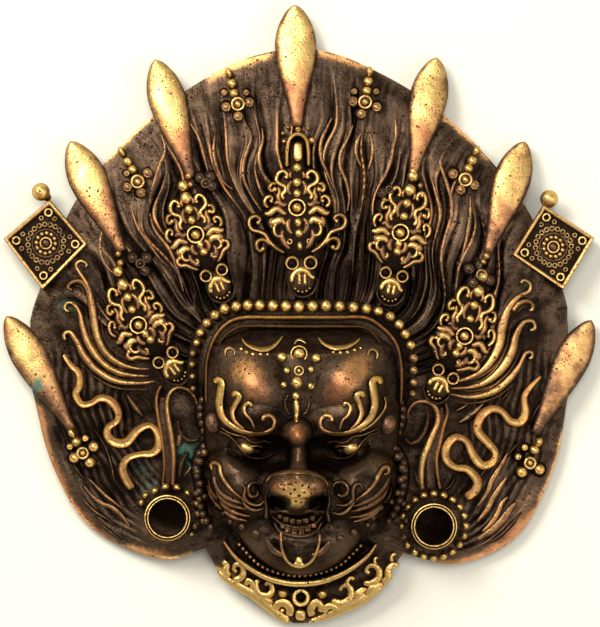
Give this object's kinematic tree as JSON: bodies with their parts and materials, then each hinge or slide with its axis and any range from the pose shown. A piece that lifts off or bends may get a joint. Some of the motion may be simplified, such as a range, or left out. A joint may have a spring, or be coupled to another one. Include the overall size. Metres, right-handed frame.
{
  "type": "wall mask",
  "caption": "Cast metal wall mask of a wrathful guardian: domed fan of flame hair with blades and skull crests, side plaques, cupped ear spools, a collar and an open back.",
  "frame": {"origin": "middle of the outline, on the plane of the back rim", "axes": "+Y towards the crown, +Z out of the face, +X to the viewer's right when facing the mask"},
  "size_m": [0.2378, 0.2478, 0.0582],
  "materials": {
    "bronze": "dark brown patina, rubbed to copper and bright brass on the raised work"
  },
  "bodies": {
    "root": {"mask": "bronze"}
  },
  "joints": []
}
